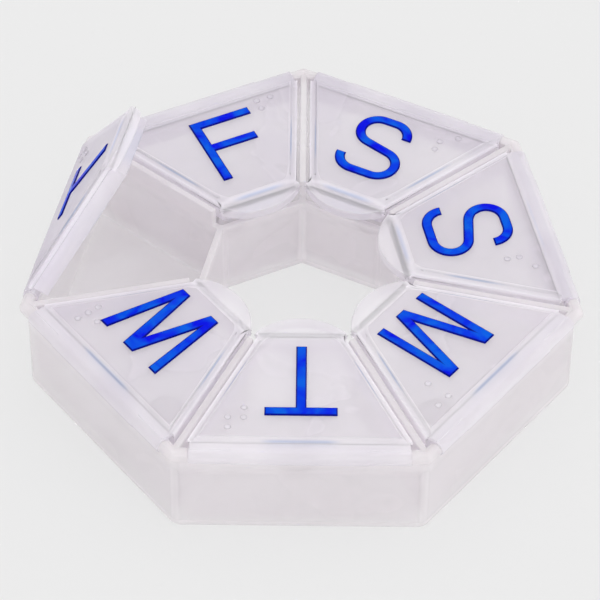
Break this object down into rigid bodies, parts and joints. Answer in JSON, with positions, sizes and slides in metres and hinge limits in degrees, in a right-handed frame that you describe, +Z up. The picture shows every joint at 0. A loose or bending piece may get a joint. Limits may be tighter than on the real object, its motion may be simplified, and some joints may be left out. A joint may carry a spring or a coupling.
{
  "type": "weekly pill organizer",
  "caption": "Flat polygonal ring tray with a wedge-shaped cell along each side, each closed by its own hinged lid with a thumb tab, a raised weekday initial and braille dots.",
  "frame": {"origin": "centre of the ring's hole, on the plane of the tray's underside", "axes": "+Z up out of the cells, -Y outward through the Tuesday lid, which faces the viewer"},
  "size_m": [0.1196, 0.1171, 0.0555],
  "materials": {
    "tray_plastic": "milky translucent polypropylene, smooth moulded",
    "lid_plastic": "milky translucent polypropylene, smooth moulded",
    "letter_ink": "thick glossy blue ink"
  },
  "bodies": {
    "tray": {"base_tray": "tray_plastic"},
    "tuesday_lid": {"lid_tuesday": "lid_plastic", "letter_tuesday": "letter_ink"},
    "monday_lid": {"lid_monday": "lid_plastic", "letter_monday": "letter_ink"},
    "sunday_lid": {"lid_sunday": "lid_plastic", "letter_sunday": "letter_ink"},
    "saturday_lid": {"lid_saturday": "lid_plastic", "letter_saturday": "letter_ink"},
    "friday_lid": {"lid_friday": "lid_plastic", "letter_friday": "letter_ink"},
    "thursday_lid": {"lid_thursday": "lid_plastic", "letter_thursday": "letter_ink"},
    "wednesday_lid": {"lid_wednesday": "lid_plastic", "letter_wednesday": "letter_ink"}
  },
  "joints": [
    {"name": "tuesday_hinge", "type": "hinge", "parent": "tray", "child": "tuesday_lid", "pos_m": [0, -0.054, 0.0223], "axis": [1, 0, 0], "range_deg": [0, 170]},
    {"name": "monday_hinge", "type": "hinge", "parent": "tray", "child": "monday_lid", "pos_m": [0.04222, -0.03367, 0.0223], "axis": [0.6235, 0.7818, 0], "range_deg": [0, 170]},
    {"name": "sunday_hinge", "type": "hinge", "parent": "tray", "child": "sunday_lid", "pos_m": [0.05264, 0.01202, 0.0223], "axis": [-0.2225, 0.9749, 0], "range_deg": [0, 170]},
    {"name": "saturday_hinge", "type": "hinge", "parent": "tray", "child": "saturday_lid", "pos_m": [0.02343, 0.04865, 0.0223], "axis": [-0.901, 0.4339, 0], "range_deg": [0, 170]},
    {"name": "friday_hinge", "type": "hinge", "parent": "tray", "child": "friday_lid", "pos_m": [-0.02343, 0.04865, 0.0223], "axis": [-0.901, -0.4339, 0], "range_deg": [0, 170]},
    {"name": "thursday_hinge", "type": "hinge", "parent": "tray", "child": "thursday_lid", "pos_m": [-0.05264, 0.01202, 0.0223], "axis": [-0.2225, -0.9749, 0], "range_deg": [-61, 109]},
    {"name": "wednesday_hinge", "type": "hinge", "parent": "tray", "child": "wednesday_lid", "pos_m": [-0.04222, -0.03367, 0.0223], "axis": [0.6235, -0.7818, 0], "range_deg": [0, 170]}
  ]
}
